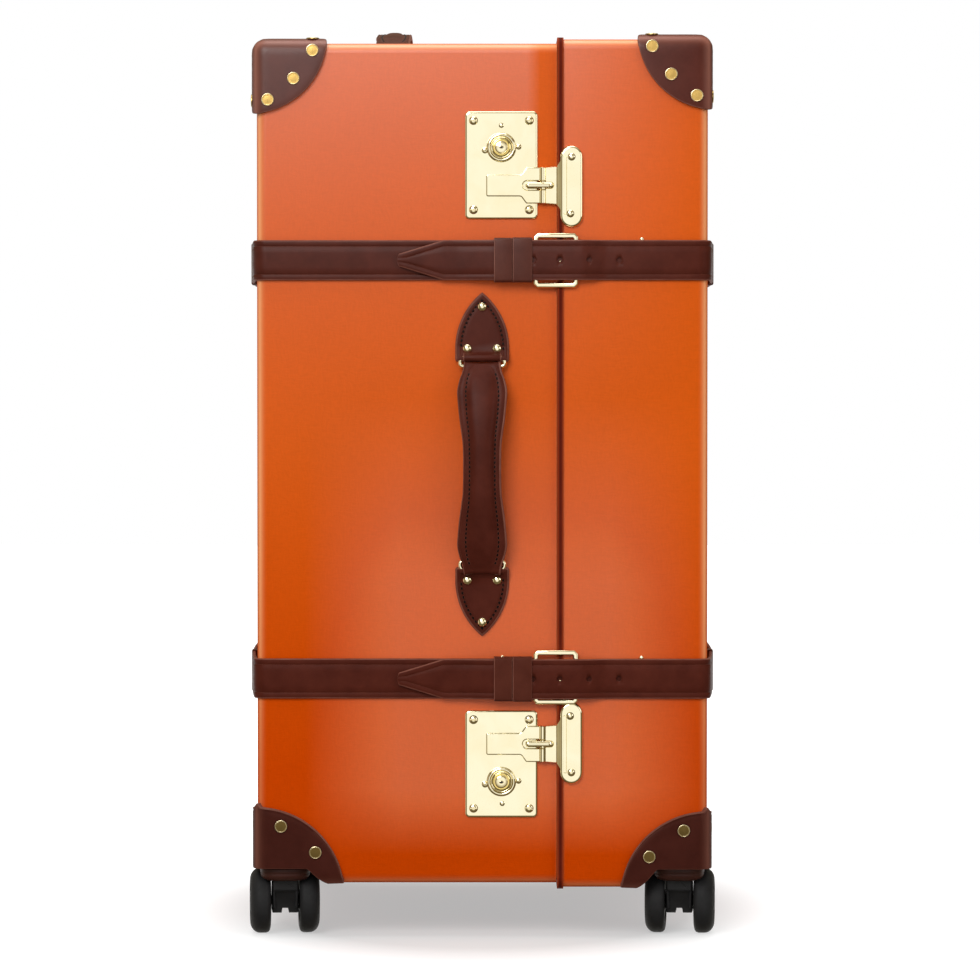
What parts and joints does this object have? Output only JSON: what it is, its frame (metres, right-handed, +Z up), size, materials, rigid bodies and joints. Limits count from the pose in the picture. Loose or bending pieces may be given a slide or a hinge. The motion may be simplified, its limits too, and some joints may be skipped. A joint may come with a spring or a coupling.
{
  "type": "wardrobe trunk",
  "caption": "Upright fibre-board wardrobe trunk on twin castors with a side-hinged lid, leather straps, corner caps, hasp locks and carrying handles.",
  "frame": {"origin": "on the floor, under the middle of the trunk, level with the bottoms of the wheels", "axes": "+X towards the lid side, +Y towards the hinged back, +Z up; the locks and the carrying handle face -Y"},
  "size_m": [0.4316, 0.4989, 0.8351],
  "materials": {
    "fibre_board": "orange sealed vulcanised fibre with a fine pressed grain",
    "lip_wood": "oiled ash lip",
    "binding": "dark red-brown fibre edge",
    "lining": "woven cotton lining",
    "gilt": "polished pale gold plate",
    "old_brass": "satin brass rivets",
    "cap_leather": "moulded dark brown leather",
    "strap_leather": "smooth dark brown bridle leather",
    "moulded_brown": "brown moulded plastic",
    "black_plastic": "black moulded nylon",
    "tyre": "black rubber-like wheel",
    "steel": "plain steel"
  },
  "bodies": {
    "base": {"base_shell": "fibre_board", "base_lip": "lip_wood", "base_lining": "lining", "garment_rail": "gilt", "rail_brackets": "gilt", "base_screws": "gilt", "corner_caps_base": "cap_leather", "corner_rivets_base": "old_brass", "castor_housings_base": "moulded_brown", "lock_plates": "gilt", "lock_cases": "steel", "lock_collars": "gilt", "handle_chapes": "strap_leather", "handle_studs": "gilt", "strap_upper_base": "strap_leather", "strap_lower_base": "strap_leather", "buckle_frames": "gilt", "buckle_tongues": "gilt", "keeper_backs": "strap_leather", "strap_loops_base": "strap_leather", "hinge_leaves_base": "gilt", "hinge_pins": "gilt"},
    "lid": {"lid_shell": "fibre_board", "lid_binding": "binding", "lid_lining": "lining", "lid_pocket": "lining", "lid_screws": "gilt", "corner_caps_lid": "cap_leather", "corner_rivets_lid": "old_brass", "castor_housings_lid": "moulded_brown", "catch_plates": "gilt", "strap_upper_lid": "strap_leather", "strap_lower_lid": "strap_leather", "strap_loops_lid": "strap_leather", "hinge_leaves_lid": "gilt"},
    "billet_upper": {"billet_upper": "strap_leather", "keepers_upper": "strap_leather"},
    "hasp_upper": {"hasp_upper": "gilt"},
    "key_cylinder_upper": {"key_cylinder_upper": "gilt"},
    "lock_bolt_upper": {"lock_bolt_upper": "steel"},
    "billet_lower": {"billet_lower": "strap_leather", "keepers_lower": "strap_leather"},
    "hasp_lower": {"hasp_lower": "gilt"},
    "key_cylinder_lower": {"key_cylinder_lower": "gilt"},
    "lock_bolt_lower": {"lock_bolt_lower": "steel"},
    "front_ring_upper": {"front_ring_upper": "gilt"},
    "front_ring_lower": {"front_ring_lower": "gilt"},
    "front_grip": {"front_grip": "strap_leather"},
    "top_ring_back": {"top_ring_back": "gilt"},
    "top_ring_front": {"top_ring_front": "gilt"},
    "top_grip": {"top_grip": "strap_leather"},
    "castor_front_left": {"castor_fork_front_left": "black_plastic"},
    "wheels_front_left": {"castor_wheels_front_left": "tyre"},
    "castor_front_right": {"castor_fork_front_right": "black_plastic"},
    "wheels_front_right": {"castor_wheels_front_right": "tyre"},
    "castor_back_left": {"castor_fork_back_left": "black_plastic"},
    "wheels_back_left": {"castor_wheels_back_left": "tyre"},
    "castor_back_right": {"castor_fork_back_right": "black_plastic"},
    "wheels_back_right": {"castor_wheels_back_right": "tyre"}
  },
  "joints": [
    {"name": "lid_hinge", "type": "hinge", "parent": "base", "child": "lid", "pos_m": [0.0671, 0.232, 0.4215], "axis": [0, 0, 1], "range_deg": [0, 110]},
    {"name": "billet_upper_flex", "type": "hinge", "parent": "lid", "child": "billet_upper", "pos_m": [0.104, -0.2303, 0.6094], "axis": [0, 0, 1], "range_deg": [0, 90]},
    {"name": "hasp_upper_hinge", "type": "hinge", "parent": "lid", "child": "hasp_upper", "pos_m": [0.0543, -0.2285, 0.6763], "axis": [0, 0, 1], "range_deg": [0, 120]},
    {"name": "key_upper_turn", "type": "hinge", "parent": "base", "child": "key_cylinder_upper", "pos_m": [0.0172, -0.2272, 0.7103], "axis": [0, 1, 0], "range_deg": [-8, 98]},
    {"name": "bolt_upper_slide", "type": "slide", "parent": "base", "child": "lock_bolt_upper", "axis": [0, 0, -1], "range_m": [0, 0.006]},
    {"name": "billet_lower_flex", "type": "hinge", "parent": "lid", "child": "billet_lower", "pos_m": [0.104, -0.2303, 0.234], "axis": [0, 0, 1], "range_deg": [0, 90]},
    {"name": "hasp_lower_hinge", "type": "hinge", "parent": "lid", "child": "hasp_lower", "pos_m": [0.0543, -0.2285, 0.1752], "axis": [0, 0, 1], "range_deg": [0, 120]},
    {"name": "key_lower_turn", "type": "hinge", "parent": "base", "child": "key_cylinder_lower", "pos_m": [0.0172, -0.2272, 0.1412], "axis": [0, 1, 0], "range_deg": [-8, 98]},
    {"name": "bolt_lower_slide", "type": "slide", "parent": "base", "child": "lock_bolt_lower", "axis": [0, 0, 1], "range_m": [0, 0.006]},
    {"name": "front_handle_swing", "type": "hinge", "parent": "base", "child": "front_ring_upper", "pos_m": [0, -0.232, 0.5225], "axis": [-1, 0, 0], "range_deg": [0, 90]},
    {"name": "front_grip_turn", "type": "hinge", "parent": "front_ring_upper", "child": "front_grip", "pos_m": [0, -0.232, 0.5145], "axis": [-1, 0, 0], "range_deg": [-98, 8]},
    {"name": "front_ring_lower_swing", "type": "hinge", "parent": "base", "child": "front_ring_lower", "pos_m": [0, -0.232, 0.3395], "axis": [-1, 0, 0], "range_deg": [-8, 98]},
    {"name": "top_handle_swing", "type": "hinge", "parent": "base", "child": "top_ring_back", "pos_m": [-0.0829, 0.0955, 0.811], "axis": [-1, 0, 0], "range_deg": [0, 90]},
    {"name": "top_grip_turn", "type": "hinge", "parent": "top_ring_back", "child": "top_grip", "pos_m": [-0.0829, 0.0875, 0.811], "axis": [-1, 0, 0], "range_deg": [-98, 8]},
    {"name": "top_ring_front_swing", "type": "hinge", "parent": "base", "child": "top_ring_front", "pos_m": [-0.0829, -0.0875, 0.811], "axis": [-1, 0, 0], "range_deg": [-8, 98]},
    {"name": "swivel_front_left", "type": "hinge", "parent": "base", "child": "castor_front_left", "pos_m": [-0.179, -0.197, 0.0625], "axis": [0, 0, 1], "continuous": true},
    {"name": "roll_front_left", "type": "hinge", "parent": "castor_front_left", "child": "wheels_front_left", "pos_m": [-0.17978, -0.18803, 0.0295], "axis": [0.9962, 0.0872, 0], "continuous": true},
    {"name": "swivel_front_right", "type": "hinge", "parent": "lid", "child": "castor_front_right", "pos_m": [0.179, -0.197, 0.0625], "axis": [0, 0, 1], "continuous": true},
    {"name": "roll_front_right", "type": "hinge", "parent": "castor_front_right", "child": "wheels_front_right", "pos_m": [0.17978, -0.18803, 0.0295], "axis": [0.9962, -0.0872, 0], "continuous": true},
    {"name": "swivel_back_left", "type": "hinge", "parent": "base", "child": "castor_back_left", "pos_m": [-0.179, 0.197, 0.0625], "axis": [0, 0, 1], "continuous": true},
    {"name": "roll_back_left", "type": "hinge", "parent": "castor_back_left", "child": "wheels_back_left", "pos_m": [-0.17477, 0.20495, 0.0295], "axis": [0.8829, -0.4695, 0], "continuous": true},
    {"name": "swivel_back_right", "type": "hinge", "parent": "lid", "child": "castor_back_right", "pos_m": [0.179, 0.197, 0.0625], "axis": [0, 0, 1], "continuous": true},
    {"name": "roll_back_right", "type": "hinge", "parent": "castor_back_right", "child": "wheels_back_right", "pos_m": [0.17397, 0.20446, 0.0295], "axis": [0.829, 0.5592, 0], "continuous": true}
  ],
  "couplings": [
    {"joint": "key_upper_turn", "follows": "bolt_upper_slide", "rad_per_m": 261.8},
    {"joint": "key_lower_turn", "follows": "bolt_lower_slide", "rad_per_m": 261.8},
    {"joint": "front_grip_turn", "follows": "front_handle_swing", "ratio": -1},
    {"joint": "front_ring_lower_swing", "follows": "front_handle_swing", "ratio": 1},
    {"joint": "top_grip_turn", "follows": "top_handle_swing", "ratio": -1},
    {"joint": "top_ring_front_swing", "follows": "top_handle_swing", "ratio": 1}
  ]
}
